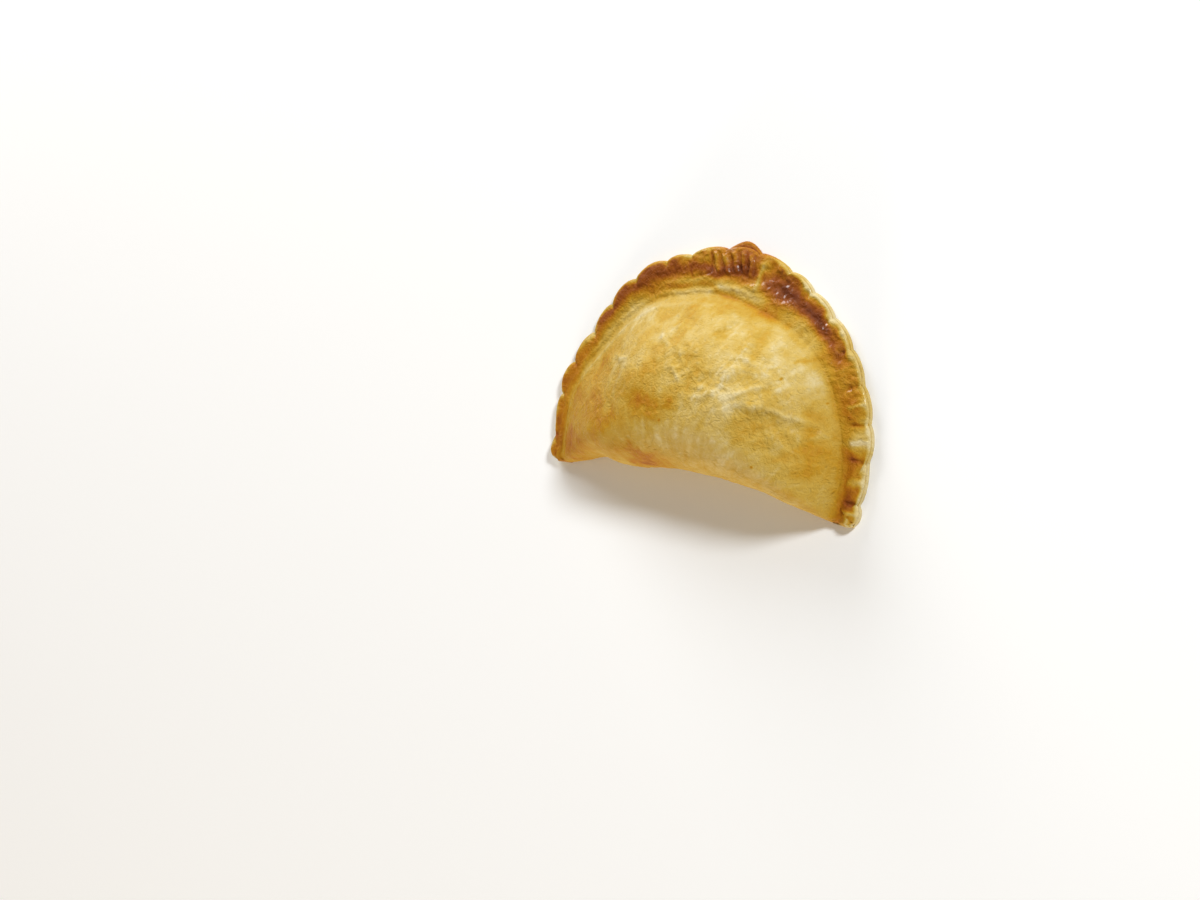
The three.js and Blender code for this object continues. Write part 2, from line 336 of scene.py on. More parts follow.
# The stretch of rim that the slanting crimps take up, and how softly the stamp ends.
crimp_start = 117.0 * mm
crimp_end = 138.5 * mm
stamp_end = 2.0 * mm


def edge_section(turn, phi):
    """A layer's cut edge, from the seam (0) round to its flat side (1): distance in, and lift."""
    open_seam = smooth(phi, *crevice_opens) * smooth(math.pi - phi, *crevice_opens)
    quarter = turn * math.pi / 2.0
    half = turn * math.pi
    inward = edge_radius * mix(1.0 - math.cos(quarter), 1.0 - math.sin(half), open_seam)
    return inward, mix(math.sin(quarter), (1.0 - math.cos(half)) / 2.0, open_seam)


def run_from_seam(passed, reach):
    """Distance from the seam over the surface, by the share of the rings passed."""
    edge_share = edge_rings / upper_rows
    if passed < edge_share:
        return edge_run * passed / edge_share
    share = (passed - edge_share) / (1.0 - edge_share)
    return edge_run + reach * (crowding * share + (1.0 - crowding) * share ** 2)


def disc_angle(u, v):
    """The square sheet's rings become the disc's: the angle round from the right corner."""
    wedge = math.pi / 4.0
    side = abs(v)
    if abs(u) < side:
        return math.pi / 2.0 - wedge * u / side
    if abs(u) < 1e-9:
        return 0.0
    return wedge * side / u if u > 0.0 else math.pi - wedge * side / -u


def sheet_point(u, v):
    """The smooth form, and where the point lies on the pastry: lengths there are in mm."""
    ring = max(abs(u), abs(v))
    phi = disc_angle(u, v)
    radius = rim_radius(phi)
    run = run_from_seam(1.0 - ring, radius - edge_radius)
    turn = min(run / edge_run, 1.0)
    inward, lift = edge_section(turn, phi)
    if turn >= 1.0:
        inward = edge_radius + run - edge_run
        lift = 1.0
    out = max(1.0 - inward / radius, 0.0)
    reach = radius - corner_cut(phi) * out ** cut_fade
    flat_x = out * reach * math.cos(phi)
    flat_y = out * reach * math.sin(phi)
    x, y, _ = laid(flat_x, flat_y)

    # What is pressed into the rim follows its nearest point.
    step = round(phi / math.pi * outline_steps)
    if inward < pressed_within:
        step = rim_tree.find((x, y, 0.0))[1]
    along = rim_lengths[step]
    share = press_at(along)[0]
    form = forms_at[step]

    stands = max(math.sin(math.pi * press_at(along_rim(phi))[0]), 0.0)
    push = form["scallop"] * mm * (math.sqrt(stands) - scallop_level)
    if v < 0.0:
        out_further = lip_reach * bell(along - lip_place, lip_width) + form["lower_out"] * mm
        push += out_further * smooth(run, 0.0, lower_out_from)
    push *= 1.0 - smooth(inward, 0.0, scallop_fade)
    x += push * math.cos(phi)
    y += push * math.sin(phi)

    band = band_at(phi, along_rim(phi))
    gap = 1.0 - narrower_at_left * leftness(phi)
    end = smooth(abs(flat_x) / half_length, *fold_lowers)
    start = mix(fold_height, seam_height, end)
    if v >= 0.0:
        dome = dome_rise(inward, band, gap, flat_x, phi, form["rise"] * mm)
        stamped = smooth(along, crimp_start - stamp_end, crimp_start)
        stamped *= 1.0 - smooth(along, crimp_end, crimp_end + stamp_end)
        high = rim_top(inward, band, gap, share, stamped, form) + dome
        high += swell(x, y) * smooth(dome, 0.0, dome_height / 2.0)
        z = mix(start, high, turned_out(bowed(flat_y), flat_x, fold_upper_round))
    else:
        z = mix(start, 0.0, turned_out(bowed(flat_y), flat_x, fold_lower_round))
    z = mix(seam_height, z, lift)
    place = {
        "inward": inward / mm, "along": along / mm, "band": band / mm, "gap": gap,
        "step": step, "upper": v >= 0.0, "turn": turn, "from_fold": flat_y / mm,
    }
    return Vector((x, y, z)), place


# ---------------------------------------------------------------- crust, its relief
# Rolling, filling and baking leave the dough uneven: soft lumps over the filling, a skin
# that has crumpled on the crown, a few long folds, and on the rim the marks of the presses
# and a row of slanting crimps. All in millimetres.

noise.seed_set(23)  # so that the skin crumples the same way each time

# Soft lumps: size and height.
skin_lumps = ((21.0, 0.50), (8.0, 0.38), (3.6, 0.20), (1.8, 0.10))
under_lumps = ((21.0, 0.40), (8.0, 0.25), (3.0, 0.08))
rim_lumps = ((6.5, 0.50), (3.0, 0.55), (1.5, 0.38))

# The crumpled skin: its middle level, the levels at which a crest's painted highlight begins and is full,
# how far under the middle a hollow's painted shade is full, and how strong that shade is.
crumple_size = 12.0
crumple_height = 0.85
crumple_level = 0.96
crumple_octaves = 3
crumple_shake = 0.25
crest_highlight_low = 1.15
crest_highlight_high = 1.60
hollow_shade_run = 0.4
hollow_shade_share = 0.3

# Puffy cells with creases between them: size, depth of the creases, and place in the noise.
cells = ((7.5, 0.30, 5.0), (3.6, 0.13, 9.0))
crease_width = 0.50
crease_shake = 0.45
# How much painted shade the creases between cells take, as a share.
crease_shade_share = 0.45

# Where the skin has crumpled: place, spread and how much. Even there some of it stays calm,
# and away from there a little of it crumples.
calm_size = 13.0
calm_levels = (-0.35, 0.25)
least_crumpled = 0.25
crumpled_places = (
    (-8.0, 49.0, 15.0, 0.9), (20.0, 44.0, 17.0, 0.8), (46.0, 32.0, 12.0, 0.7),
    (-30.0, 44.0, 9.0, 0.6), (22.0, 62.0, 15.0, 0.6), (-15.0, 30.0, 12.0, 0.4),
)

# Folds in the skin: points along each, its height, half its width, and how deep the hollow
# below it is. The hollow's place and half width are given in half widths of the fold.
fold_hollow_away = 2.6
fold_hollow_width = 2.0
fold_end_share = 0.2
fold_shake = 0.8
fold_shake_size = 4.0
skin_folds = (
    (((20.0, 29.0), (25.0, 33.5), (29.0, 35.3), (33.0, 34.6), (37.7, 35.0)), 0.45, 1.5, 0.45),
    (((36.0, 34.6), (43.0, 33.0), (48.4, 32.5), (55.0, 31.0)), 0.40, 1.1, 0.35),
    (((22.0, 35.5), (29.0, 39.7), (35.5, 44.0)), 0.45, 1.2, 0.2),
    (((52.0, 25.5), (53.7, 29.1), (57.0, 28.2)), 0.40, 0.8, 0.3),
    (((-16.0, 55.0), (-10.5, 52.5), (-7.0, 50.0)), 0.35, 0.9, 0.3),
    (((-2.0, 44.5), (0.0, 41.4), (3.5, 38.5)), 0.35, 0.9, 0.3),
    (((-38.0, 44.5), (-31.0, 42.5), (-25.0, 44.0)), 0.35, 0.8, 0.2),
)

# Creases across the rim, from (along, inward) to (along, inward), their half width, height
# and how much they brown the crust: a pad by the crimps with cracks round it, and one rib.
rim_creases = (
    ((139.8, 0.6), (139.2, 8.2), 0.55, -0.50, 0.16),
    ((150.2, 2.5), (149.4, 8.6), 0.50, -0.35, 0.12),
    ((140.5, 8.9), (149.2, 9.2), 0.60, -0.35, 0.12),
    ((113.8, 4.0), (112.2, 12.4), 1.10, 0.55, -0.34),
)
crease_ragged = 0.5

# The slanting crimps: between which distances in from the edge they rise and sink again, and
# where the side of a ridge lies, in shares of half the pitch from the ridge's middle.
crimp_pitch = 4.3
crimp_slant = 0.40
crimp_height = 0.90
crimp_middle = 5.5
crimp_rises = (1.2, 2.6)
crimp_sinks = (8.2, 9.8)
crimp_side = (0.20, 0.72)
crimp_end_width = 1.0
crimp_ragged = 0.5
crimp_end_ragged = 0.8

# The marks between two presses, and the rib in the middle of each.
rim_ragged_size = 4.5
mark_ragged = 0.9
mark_width = 0.75
mark_end = (-2.0, 0.5)  # past its reach
rib_width = 0.8
rib_sinks = (5.0, 7.0)

# A smooth channel lies before the dome where the band is wide; the bumps mostly end there.
channel_start = (-4.5, -1.0)  # from the band's end
channel_bands = (9.0, 13.0)
channel_smoothing = 0.8

# How much each mark browns the crust, or pales it.
mark_browner = 0.35
crimp_paler = 0.14
rib_paler = 0.90

# Where the relief of the skin takes over from that of the rim, from the foot of the dome. The
# relief fades round the cut edge, by this power, and the base is calm up to this height.
skin_starts = (-1.0, 6.0)
rim_ends = (-3.0, 2.0)
edge_calm = 3
under_rises = 3.0


def uneven(point, size, seed):
    return noise.noise(point / (size * mm) + Vector((seed, 2.3 * seed, -1.7 * seed)))


def in_channel(inward, band):
    """1 in the smooth channel that runs between the rim's tip and the dome, 0 away from it."""
    start, full = channel_start
    return smooth(inward, band + start, band + full) * smooth(band, *channel_bands)


def lumpy(point, lumps, seed):
    return sum(high * uneven(point, size, seed + size) for size, high in lumps)


def crumple(point):
    """A crumpled skin, like paper that was crushed and laid flat: sharp crests, soft hollows."""
    shake = noise.noise_vector(point / (0.9 * crumple_size * mm))
    shaken = point / (crumple_size * mm) + crumple_shake * shake
    return noise.ridged_multi_fractal(shaken, 1.0, 2.1, crumple_octaves, 0.95, 2.0)


def crease(point, size, seed):
    """Puffy cells with creases between them: 1 in a crease, 0 on a cell."""
    shift = Vector((seed, seed, 0.0))
    shake = noise.noise_vector(point / (0.7 * size * mm) + shift)
    near = noise.voronoi(point / (size * mm) + crease_shake * shake + shift)[0]
    return 1.0 - smooth(near[1] - near[0], 0.0, crease_width)


def path_side(x, y, path):
    """Signed distance to a path (positive on its left), and the share of the path passed."""
    best = None
    for i in range(len(path) - 1):
        (ax, ay), (bx, by) = path[i], path[i + 1]
        dx, dy = bx - ax, by - ay
        t = min(max(((x - ax) * dx + (y - ay) * dy) / (dx * dx + dy * dy), 0.0), 1.0)
        away = math.hypot(x - ax - dx * t, y - ay - dy * t)
        if best is None or away < abs(best[0]):
            above = dx * (y - ay) - dy * (x - ax)
            best = (math.copysign(away, above), (i + t) / (len(path) - 1))
    return best


def skin_relief(point):
    """Height of the dome's skin over the smooth form, and its crests for painted highlight (under 0 in
    creases and hollows, for painted shade).
    """
    x = point.x / mm
    y = point.y / mm
    crumpled = sum(
        much * bell(math.hypot(x - px, y - py), spread) for px, py, spread, much in crumpled_places
    )
    crumpled = min(least_crumpled + crumpled, 1.0) * smooth(uneven(point, calm_size, 2.0), *calm_levels)
    raised = crumple(point)
    height = lumpy(point, skin_lumps, 1.0) + crumpled * crumple_height * (raised - crumple_level)
    # Painted highlight goes on the crests, painted shade in the hollows and, below, in the creases.
    hollow = hollow_shade_share * smooth(crumple_level - raised, 0.0, hollow_shade_run)
    crests = crumpled * (smooth(raised, crest_highlight_low, crest_highlight_high) - hollow)
    for size, deep, seed in cells:
        in_crease = crumpled * crease(point, size, seed)
        height -= deep * in_crease
        crests -= crease_shade_share * in_crease
    shaken_x = x + fold_shake * uneven(point, fold_shake_size, 3.0)
    shaken_y = y + fold_shake * uneven(point, fold_shake_size, 6.0)
    for path, high, wide, deep in skin_folds:
        side, passed = path_side(shaken_x, shaken_y, path)
        ends = smooth(passed, 0.0, fold_end_share) * (1.0 - smooth(passed, 1.0 - fold_end_share, 1.0))
        below = deep * bell(side + fold_hollow_away * wide, fold_hollow_width * wide)
        height += ends * (high * bell(side, wide) - below)
        # Painted highlight along the top of each fold.
        crests += ends * bell(side, wide)
    return height, min(crests, 1.0)


def crimp_ridge(along, inward, ragged):
    """0 to 1 over the slanting crimps pressed into the rim's middle."""
    start = crimp_start / mm
    end = crimp_end / mm
    shifted = along + crimp_slant * (inward - crimp_middle) + crimp_ragged * ragged
    inside = smooth(shifted, start, start + crimp_end_width)
    inside *= 1.0 - smooth(shifted, end - crimp_end_width, end)
    inside *= smooth(inward, *crimp_rises) * (1.0 - smooth(inward + crimp_end_ragged * ragged, *crimp_sinks))
    from_middle = abs(((shifted - start) / crimp_pitch) % 1.0 - 0.5) * 2.0
    return inside * (1.0 - smooth(from_middle, *crimp_side))


def rim_relief(point, place):
    """Height of the rim over the smooth form, and how much its marks brown the crust."""
    inward = place["inward"]
    form = forms_at[place["step"]]
    ragged = uneven(point, rim_ragged_size, 11.0)
    along = place["along"] + mark_ragged * ragged
    share, press_width = press_at(along * mm)
    mark = bell(min(share, 1.0 - share) * press_width / mm, mark_width) * smooth(inward, 0.0, 1.0)
    mark *= 1.0 - smooth(inward - form["mark_reach"], *mark_end)
    rib = bell((share - 0.5) * press_width / mm, rib_width) * (1.0 - smooth(inward, *rib_sinks))
    crimp = crimp_ridge(place["along"], inward, ragged)
    crease_height = 0.0
    crease_brown = 0.0
    for start, end, wide, high, browner in rim_creases:
        side, passed = path_side(place["along"] + crease_ragged * ragged, inward, (start, end))
        on_crease = bell(side, wide)
        crease_height += high * on_crease
        crease_brown += browner * on_crease
    bumps = form["bumps"] * (1.0 - channel_smoothing * in_channel(inward, place["band"]))
    height = bumps * lumpy(point, rim_lumps, 20.0) + crimp_height * crimp + crease_height
    height += form["rib"] * rib - form["mark_depth"] * mark
    paler = crimp_paler * crimp + rib_paler * form["rib"] * rib
    return height, crease_brown + mark_browner * form["mark_depth"] * mark - paler


def relief(point, place):
    """Height over the smooth form, how much of a crest it is for painted highlight (under 0 for painted
    shade), and how much the marks brown it.
    """
    inward = place["inward"]
    if not place["upper"]:
        return smooth(point.z / mm, 0.0, under_rises) * lumpy(point, under_lumps, 30.0), 0.0, 0.0
    past_foot = inward - place["band"] - place["gap"] * ridge_gap / mm
    on_dome = smooth(past_foot, *skin_starts)
    on_rim = 1.0 - smooth(past_foot, *rim_ends)
    skin, crests = skin_relief(point) if on_dome > 0.0 else (0.0, 0.0)
    rim, browner = rim_relief(point, place)
    height = on_dome * skin + on_rim * rim * place["turn"] ** edge_calm
    return height, crests * on_dome, browner


# ---------------------------------------------------------------- crust, how far it has baked
# Thin and raised dough browns first: the rim's outer middle goes a glossy red brown, the
# grooves orange, the crown stays pale gold with toasted patches, and the folded side and
# the ridges stay palest. One number for each point says how brown it is; it also carries
# painted shade in the crevice at the seam and in the skin's creases and hollows, and painted
# highlight on the skin's crests.

# Toasted patches and, with a negative strength, pale ones: place, half sizes and strength.
baked_patches = (
    (-12.0, 9.0, 9.0, 4.5, 0.36),
    (-10.0, 29.0, 9.0, 4.5, 0.26),
    (-14.0, 40.0, 5.0, 4.0, 0.14),
    (-27.0, 21.0, 6.0, 4.0, 0.14),
    (-36.0, 18.0, 15.0, 10.0, 0.19),
    (-46.0, 30.0, 12.0, 10.0, 0.14),
    (-43.0, 39.0, 7.0, 4.0, 0.12),
    (-54.0, 8.0, 12.0, 8.0, 0.20),
    (-62.0, 14.0, 7.0, 16.0, 0.20),
    (0.0, 32.0, 6.0, 5.0, 0.14),
    (8.0, 68.0, 12.0, 2.6, 0.14),
    (41.0, 54.0, 2.4, 1.2, 0.24),
    (52.0, 22.0, 9.0, 12.0, 0.08),
    (18.0, 36.0, 14.0, 6.0, -0.10),
    (22.0, 50.0, 20.0, 12.0, -0.14),
    (45.0, 47.0, 9.0, 8.0, -0.08),
    (16.0, 18.0, 22.0, 7.0, -0.12),
    (38.0, 13.0, 13.0, 6.0, -0.05),
    (-32.0, 41.0, 6.0, 5.0, -0.14),
    (-34.0, 58.0, 10.0, 8.0, -0.08),
    (-14.0, 56.0, 9.0, 6.0, -0.05),
)

# Tiny scorched specks: place and half width.
specks = ((38.0, 46.0, 0.45), (37.0, 13.5, 0.40), (-9.0, 60.0, 0.35), (52.0, 40.0, 0.35), (-2.0, 24.0, 0.35))

# How the rim has baked along its length, again as pairs of a place and a value: how brown
# its darkest stripe is, how far in that lies and half its width (mm), how brown the rim is
# outside it, inside it and on the cut edge, how fully the channel before the dome has stayed
# pale, how fully the groove has browned and how far past the band it lies (mm), and how much
# egg has pooled.
rim_bakings = {
    "darkest": (
        (0, 0.54), (14, 0.72), (22, 0.62), (28, 0.38), (34, 0.44), (44, 0.58), (54, 0.44), (64, 0.74),
        (84, 1.00), (94, 1.00), (106, 0.88), (113, 0.56), (118, 0.84), (123, 1.06), (131, 0.96),
        (137, 0.78), (148, 0.76), (184, 0.80), (197, 0.74), (204, 0.54), (238, 0.64), (257, 0.60),
    ),
    "stripe_at": (
        (0, 6.4), (16, 4.6), (22, 6.0), (28, 9.0), (34, 6.0), (40, 6.2), (52, 4.6), (64, 4.2), (76, 4.6),
        (88, 5.2), (100, 6.6), (122, 7.7), (130, 7.8), (137, 9.6), (144, 6.6), (149, 5.0), (168, 4.2),
        (184, 2.8), (214, 2.9), (236, 2.8), (257, 4.0),
    ),
    "stripe_width": (
        (0, 2.8), (22, 2.6), (36, 3.4), (64, 3.2), (76, 2.8), (92, 2.6), (104, 4.2), (112, 3.2),
        (124, 2.2), (137, 2.0), (148, 2.6), (160, 3.0), (173, 3.8), (184, 3.2), (202, 2.6), (257, 3.2),
    ),
    "outer": (
        (0, 0.28), (16, 0.50), (22, 0.40), (28, 0.14), (34, 0.22), (46, 0.26), (54, 0.34), (64, 0.58),
        (74, 0.42), (88, 0.50), (104, 0.56), (112, 0.46), (120, 0.72), (132, 0.66), (142, 0.52),
        (149, 0.48), (168, 0.66), (190, 0.54), (202, 0.36), (216, 0.46), (228, 0.40), (240, 0.46),
        (257, 0.28),
    ),
    "inner": (
        (0, 0.38), (20, 0.40), (28, 0.34), (40, 0.34), (50, 0.40), (62, 0.36), (74, 0.20), (82, 0.24),
        (88, 0.46), (100, 0.64), (108, 0.50), (113, 0.36), (121, 0.56), (136, 0.42), (150, 0.36),
        (162, 0.46), (172, 0.40), (184, 0.20), (202, 0.22), (214, 0.38), (244, 0.56), (257, 0.56),
    ),
    "edge": (
        (0, 0.00), (30, 0.04), (46, 0.10), (56, 0.08), (66, 0.14), (76, 0.00), (94, 0.02), (106, 0.18),
        (118, 0.62), (132, 0.60), (146, 0.12), (158, 0.30), (168, 0.36), (178, 0.24), (190, 0.26),
        (202, 0.12), (216, 0.26), (242, 0.16), (257, 0.00),
    ),
    "channel": ((0, 0.5), (88, 0.6), (100, 0.3), (110, 0.9), (257, 1.0)),
    "groove": (
        (0, 0.20), (60, 0.00), (90, 0.10), (99, 0.55), (128, 0.65), (142, 0.45), (156, 0.70), (166, 0.30),
        (176, 0.10), (210, 0.10), (257, 0.20),
    ),
    "groove_at": ((0, 0.4), (99, 2.2), (130, 2.2), (142, -1.3), (154, -0.7), (166, -1.5), (257, 0.0)),
    "egg": ((0, 0.3), (40, 0.5), (64, 0.9), (84, 1.0), (100, 0.9), (120, 0.5), (257, 0.3)),
}
bakings_at = all_levels(rim_bakings)

# How brown each place is before patches and marks.
dome_brown = 0.20
groove_brown = 0.60
channel_brown = 0.17
under_brown = 0.52
fold_side_brown = 0.20
scorched_brown = 0.5

# How much browner or paler these make it.
# Painted shade in the crevice at the seam, where the two layers meet.
seam_painted_shade_depth = 0.5
seam_shade_share = 0.22  # of the way round a cut edge
fold_browner = 0.04
brushed = 0.10
# Painted shade in the skin's creases and hollows, and painted highlight on its crests.
crease_painted_shade = 0.15
crest_painted_highlight = 0.10
ridge_paler = 0.20
fine_ridge_paler = 0.30

# Half widths and runs, in mm.
fold_brown_width = 4.0
groove_brown_width = 1.3
ridge_paler_width = 1.2
fine_ridge_paler_width = 0.8
rim_browning_starts = 1.8
under_starts = (1.0, 5.0)
fold_side_rises = 2.5

# How wet with egg the dome and the underside are. It pools in puddles with soft ends.
dome_wet = 0.12
under_wet = 0.1
puddle_size = 5.0
puddle_levels = (-0.5, 0.3)

# The places past the band, in mm, between which the dome's browning and wetness take over.
dome_browning = (2.2, 4.6)
dome_wetness = (-3.0, 1.0)


def patches(point):
    """Patches with ragged edges: the point is shaken before its distance is taken."""
    shake = noise.noise_vector(point / (7.0 * mm)) * 4.0 + noise.noise_vector(point / (2.6 * mm)) * 2.4
    x = point.x / mm
    y = point.y / mm
    toasted = 0.0
    for px, py, wide, deep, much in baked_patches:
        toasted += much * math.exp(-((x + shake.x - px) / wide) ** 2 - ((y + shake.y - py) / deep) ** 2)
    scorched = sum(bell(math.hypot(x - sx, y - sy), wide) for sx, sy, wide in specks)
    return toasted + scorched_brown * scorched


def brush_strokes(point):
    """The egg was brushed on from the fold towards the rim, in strokes that fan out."""
    from_hand = point.y + 12.0 * mm
    away = math.hypot(point.x, from_hand)
    turn = math.atan2(from_hand, point.x)
    wide = noise.noise(Vector((turn * 16.0, away / (17.0 * mm), 3.0)))
    narrow = noise.noise(Vector((turn * 38.0, away / (9.0 * mm), 8.0)))
    return 0.6 * wide + 0.4 * narrow


def seam_painted_shade(place):
    """Painted shade: the crevice between the two layers is painted dark."""
    return seam_painted_shade_depth * (1.0 - smooth(place["turn"], 0.0, seam_shade_share))


def baked_under(point, place):
    """The flat base has gone an even brown; its edge and the folded side are paler."""
    large = uneven(point, 10.0, 40.0)
    # The cut edge takes painted shade in the crevice at the seam.
    edge = bakings_at[place["step"]]["edge"] + 0.06 * large + seam_painted_shade(place)
    under = under_brown + 0.10 * large + 0.06 * uneven(point, 3.4, 41.0)
    side = mix(under, fold_side_brown + 0.08 * large, smooth(point.z / mm, 0.0, fold_side_rises))
    return mix(edge, side, smooth(place["inward"], *under_starts))


def baked_rim(point, place, browner):
    """A dark stripe with paler dough on its two sides, a pale channel and the cut edge."""
    baking = bakings_at[place["step"]]
    large = uneven(point, 8.0, 40.0)
    small = uneven(point, 3.4, 41.0)
    ragged = place["inward"] + 0.9 * small + 0.6 * large
    beside = baking["outer"] if ragged < baking["stripe_at"] else baking["inner"]
    stripe = bell(ragged - baking["stripe_at"], baking["stripe_width"])
    rim = mix(beside, baking["darkest"], stripe) + 0.09 * large + 0.09 * small + browner
    rim = mix(rim, channel_brown + 0.10 * small, baking["channel"] * in_channel(ragged, place["band"]))
    past_edge = smooth(ragged, 0.0, rim_browning_starts) * place["turn"] ** 2
    # Painted shade in the crevice at the seam darkens the cut edge.
    return mix(baking["edge"] + 0.06 * small, rim, past_edge) + seam_painted_shade(place)


def baked(point, place, crests, browner):
    """Browning from 0, pale dough, to 1, dark red brown, with painted highlight on crests and painted shade
    in creases, hollows and at the seam, and how wet with egg it is.
    """
    baking = bakings_at[place["step"]]
    if not place["upper"]:
        return min(max(baked_under(point, place), 0.0), 1.0), under_wet * baking["egg"]
    form = forms_at[place["step"]]
    gap = place["gap"]
    past = (place["inward"] - place["band"]) / gap
    dome = dome_brown + 0.09 * uneven(point, 12.0, 40.0) + 0.08 * uneven(point, 5.5, 42.0)
    dome += brushed * brush_strokes(point) + patches(point)
    # Painted highlight pales the crests; painted shade browns the creases and hollows.
    dome -= (crest_painted_highlight if crests > 0.0 else crease_painted_shade) * crests
    dome += fold_browner * bell(place["from_fold"], fold_brown_width)
    brown = mix(baked_rim(point, place, browner), dome, smooth(past, *dome_browning))
    groove = baking["groove"] * bell(past - baking["groove_at"], groove_brown_width)
    brown = mix(brown, groove_brown, groove)
    brown -= ridge_paler * form["ridge"] * bell(past - form["ridge_at"], ridge_paler_width)
    past_fine_ridge = past - fine_ridge_gap / mm
    brown -= fine_ridge_paler * form["fine_ridge"] * bell(past_fine_ridge, fine_ridge_paler_width)
    wet = mix(baking["egg"], dome_wet, smooth(past, *dome_wetness))
    wet *= smooth(uneven(point, puddle_size, 50.0), *puddle_levels)
    return min(max(brown, 0.0), 1.0), wet


# The grid's lower rows are few: they stand close at the seam and the fold, and far apart
# between, where the base is flat.
lower_crowding = 0.75
bm = bmesh.new()
bmesh.ops.create_grid(bm, x_segments=columns, y_segments=upper_rows + lower_rows, size=1.0)
places = {}
for vert in bm.verts:
    row = (vert.co.y + 1.0) / 2.0 * (upper_rows + lower_rows) - lower_rows
    v = row / upper_rows
    if row < -0.5:
        passed = -row / lower_rows
        v = -mix(passed, smooth(passed, 0.0, 1.0), lower_crowding)
    elif row < 0.5:
        v = 0.0
    vert.co, places[vert.index] = sheet_point(vert.co.x, v)
bm.verts.ensure_lookup_table()
low = Vector((min(v.co[i] for v in bm.verts) for i in range(3)))
high = Vector((max(v.co[i] for v in bm.verts) for i in range(3)))
middle_under = Vector(((low.x + high.x) / 2.0, (low.y + high.y) / 2.0, low.z))

# The seam is one ring: both layers' normals are taken after their doubles are merged.
sheet_number = bm.verts.layers.int.new("sheet_number")
for vert in bm.verts:
    vert[sheet_number] = vert.index
bmesh.ops.remove_doubles(bm, verts=bm.verts, dist=0.01 * mm)
bmesh.ops.recalc_face_normals(bm, faces=bm.faces)
bm.normal_update()

brown_layer = bm.verts.layers.float.new("brown")
wet_layer = bm.verts.layers.float.new("wet")
moved = []
for vert in bm.verts:
    place = places[vert[sheet_number]]
    height, crests, browner = relief(vert.co, place)
    vert[brown_layer], vert[wet_layer] = baked(vert.co, place, crests, browner)
    moved.append(vert.co + vert.normal * height * mm)
for vert, point in zip(bm.verts, moved):
    vert.co = point - middle_under
bm.verts.layers.int.remove(sheet_number)

crust_mesh = bpy.data.meshes.new("crust")
bm.to_mesh(crust_mesh)
bm.free()
crust_mesh.polygons.foreach_set("use_smooth", [True] * len(crust_mesh.polygons))
crust = bpy.data.objects.new("crust", crust_mesh)
bpy.context.scene.collection.objects.link(crust)

# ---------------------------------------------------------------- crust, its baked surface
# Short dough brushed with egg: gold to red brown by how far it has baked, freckled by the
# flour and the oven, and glossier where the egg has pooled on the rim.

baked_dough = bpy.data.materials.new("baked_dough")
baked_dough.use_nodes = True
tree = baked_dough.node_tree
nodes, links = tree.nodes, tree.links
shader = nodes["Principled BSDF"]


def add_node(kind, **settings):
    node = nodes.new(kind)
    for name, value in settings.items():
        setattr(node, name, value)
    return node


def math_node(operation, first, second, clamp=False):
    node = add_node("ShaderNodeMath", operation=operation, use_clamp=clamp)
    for socket, value in zip(node.inputs, (first, second)):
        if isinstance(value, (int, float)):
            socket.default_value = value
        else:
            links.new(value, socket)
    return node.outputs[0]


def noise_node(scale, detail, roughness, distortion=0.0):
    node = add_node("ShaderNodeTexNoise")
    node.inputs["Scale"].default_value = scale
    node.inputs["Detail"].default_value = detail
    node.inputs["Roughness"].default_value = roughness
    node.inputs["Distortion"].default_value = distortion
    links.new(coords, node.inputs["Vector"])
    return node.outputs["Fac"]


def attribute(name):
    return add_node("ShaderNodeAttribute", attribute_name=name).outputs["Fac"]


def spread(value, amount):
    """A noise of 0 to 1 made to swing round zero by this much."""
    return math_node("MULTIPLY", math_node("SUBTRACT", value, 0.5), amount)


def ramp_node(factor, stops):
    node = add_node("ShaderNodeValToRGB")
    ramp = node.color_ramp
    while len(ramp.elements) < len(stops):
        ramp.elements.new(0.5)
    for element, (position, colour) in zip(ramp.elements, stops):
        element.position = position
        element.color = (*colour, 1.0)
    links.new(factor, node.inputs["Fac"])
    return node.outputs["Color"]


# The colour of the crust, from pale dough to the dark red brown of the rim.
crust_colours = (
    (0.00, (0.62, 0.505, 0.260)),
    (0.10, (0.55, 0.398, 0.124)),
    (0.22, (0.50, 0.320, 0.052)),
    (0.38, (0.46, 0.244, 0.014)),
    (0.55, (0.41, 0.160, 0.006)),
    (0.75, (0.26, 0.067, 0.006)),
    (1.00, (0.13, 0.026, 0.004)),
)
dry_roughness = 0.56
wet_smoother = 0.24
rough_freckles = 0.35
egg_coat = 0.8
bump_depth = 0.85 * mm

coords = add_node("ShaderNodeTexCoord").outputs["Object"]
mottle = noise_node(190.0, 3.0, 0.55, 0.6)
flake = noise_node(430.0, 2.0, 0.50, 1.2)
freckle = noise_node(760.0, 3.0, 0.60)
grain = noise_node(1500.0, 3.0, 0.65)

brown = math_node("ADD", attribute("brown"), spread(mottle, 0.28))
brown = math_node("ADD", brown, spread(flake, 0.10))
brown = math_node("ADD", brown, spread(freckle, 0.05))
brown = math_node("ADD", brown, spread(grain, 0.06), clamp=True)
links.new(ramp_node(brown, crust_colours), shader.inputs["Base Color"])

wet = attribute("wet")
rough = math_node("SUBTRACT", dry_roughness, math_node("MULTIPLY", wet, wet_smoother))
links.new(math_node("ADD", rough, spread(freckle, rough_freckles)), shader.inputs["Roughness"])
shader.inputs["Specular IOR Level"].default_value = 0.12
shader.inputs["Coat Roughness"].default_value = 0.12
links.new(math_node("MULTIPLY", math_node("POWER", wet, 2.0), egg_coat), shader.inputs["Coat Weight"])

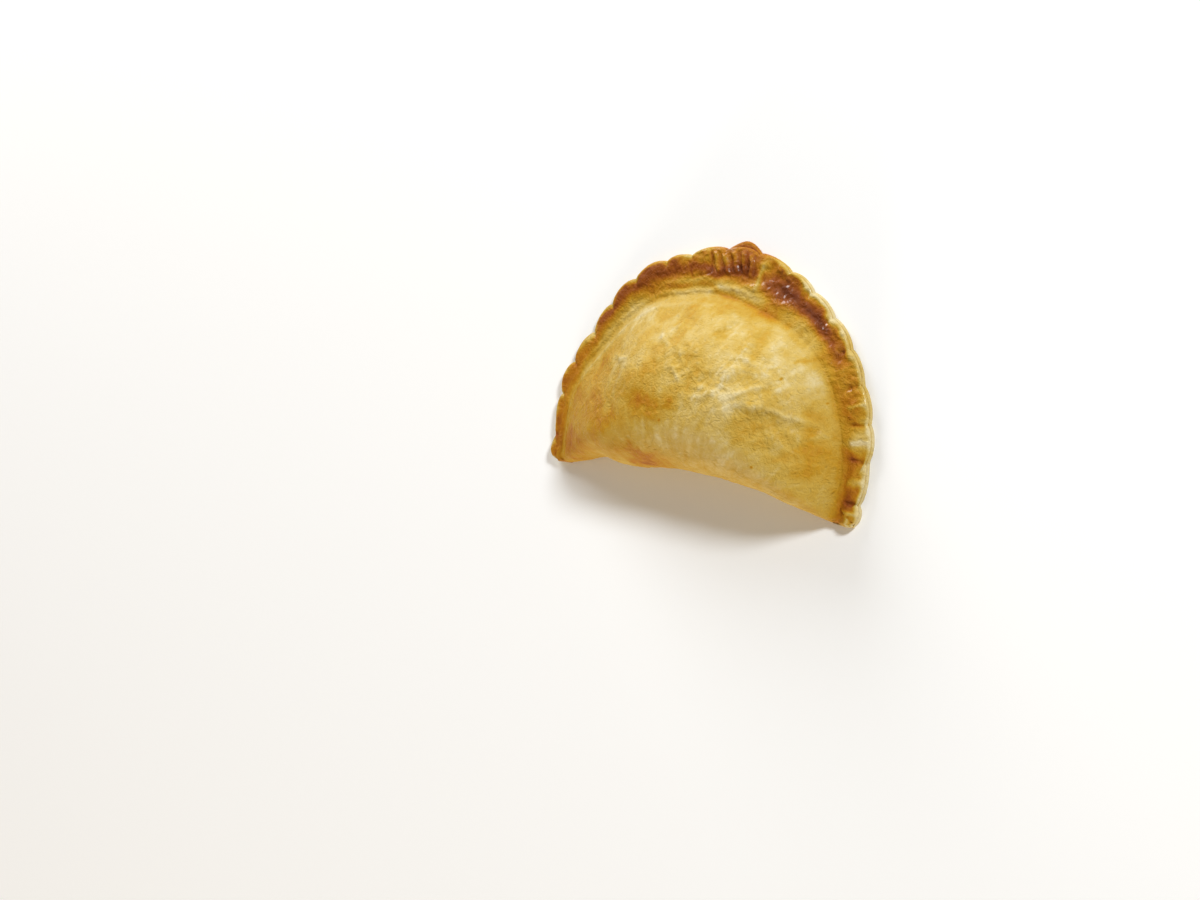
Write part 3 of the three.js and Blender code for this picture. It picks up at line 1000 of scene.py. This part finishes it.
# Flakes, freckles and grain stand up all over, and the egg lies in soft drops where it pooled.
height = math_node("ADD", math_node("MULTIPLY", flake, 0.6), math_node("MULTIPLY", freckle, 0.4))
height = math_node("ADD", height, math_node("MULTIPLY", grain, 0.25))
height = math_node("ADD", height, math_node("MULTIPLY", math_node("MULTIPLY", mottle, wet), 1.6))
bump = add_node("ShaderNodeBump")
bump.inputs["Strength"].default_value = 1.0
bump.inputs["Distance"].default_value = bump_depth
links.new(height, bump.inputs["Height"])
links.new(bump.outputs["Normal"], shader.inputs["Normal"])
crust_mesh.materials.append(baked_dough)

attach(crust, "root")
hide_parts("empanada")

# ---------------------------------------------------------------- floor, lights and camera
# A plain pale floor under soft studio light: two lamps behind the curved rim, a low warm one
# before the folded side, and a pale room. The camera looks down on the lying pastry.

floor_half_width = 4.0
floor_colour = (0.955, 0.97, 1.0, 1.0)
room_colour = (1.0, 0.85, 0.66, 1.0)
room_strength = 0.29

floor_mesh = bpy.data.meshes.new("floor")
bm = bmesh.new()
bmesh.ops.create_grid(bm, x_segments=1, y_segments=1, size=floor_half_width)
bm.to_mesh(floor_mesh)
bm.free()
floor = bpy.data.objects.new("floor", floor_mesh)
bpy.context.scene.collection.objects.link(floor)
pale = bpy.data.materials.new("pale_floor")
pale.use_nodes = True
pale_shader = pale.node_tree.nodes["Principled BSDF"]
pale_shader.inputs["Base Color"].default_value = floor_colour
pale_shader.inputs["Roughness"].default_value = 0.9
floor_mesh.materials.append(pale)


def area_light(name, place, size, power, tint):
    """A round lamp at this place, turned to the pastry."""
    lamp = bpy.data.lights.new(name, "AREA")
    lamp.shape = "DISK"
    lamp.size = size
    lamp.energy = power
    lamp.color = tint
    lit = bpy.data.objects.new(name, lamp)
    bpy.context.scene.collection.objects.link(lit)
    lit.matrix_world = Matrix.Translation(place) @ (-place).to_track_quat("-Z", "Y").to_matrix().to_4x4()


area_light("key", Vector((1.04, 0.97, 0.93)), 0.32, 25.0, (0.94, 0.98, 1.0))
area_light("soft", Vector((-1.04, 1.12, 0.47)), 0.90, 22.5, (0.97, 0.99, 1.0))
area_light("fill", Vector((-0.25, -1.58, 0.24)), 0.44, 18.5, (1.0, 0.89, 0.72))

world = bpy.data.worlds.new("studio")
world.use_nodes = True
room = world.node_tree.nodes["Background"]
room.inputs["Color"].default_value = room_colour
room.inputs["Strength"].default_value = room_strength
bpy.context.scene.world = world
bpy.context.scene.view_settings.view_transform = "Standard"

# The camera looks down from the right, about 36 degrees off straight down. Its place is given
# in millimetres in its own directions: right, up and back.
camera_turns = (("Z", -9.26), ("X", 3.75), ("Y", -36.1))
camera_offset = Vector((-38.0, 14.43, 928.6))

camera_data = bpy.data.cameras.new("camera")
camera_data.lens = 75.0
camera_data.sensor_width = 36.0
camera = bpy.data.objects.new("camera", camera_data)
bpy.context.scene.collection.objects.link(camera)
turn = Matrix.Identity(3)
for axis, degrees in camera_turns:
    turn = turn @ Matrix.Rotation(math.radians(degrees), 3, axis)
turn.transpose()
camera_place = turn @ camera_offset * mm - middle_under
camera.matrix_world = Matrix.Translation(camera_place) @ turn.to_4x4()
bpy.context.scene.camera = camera
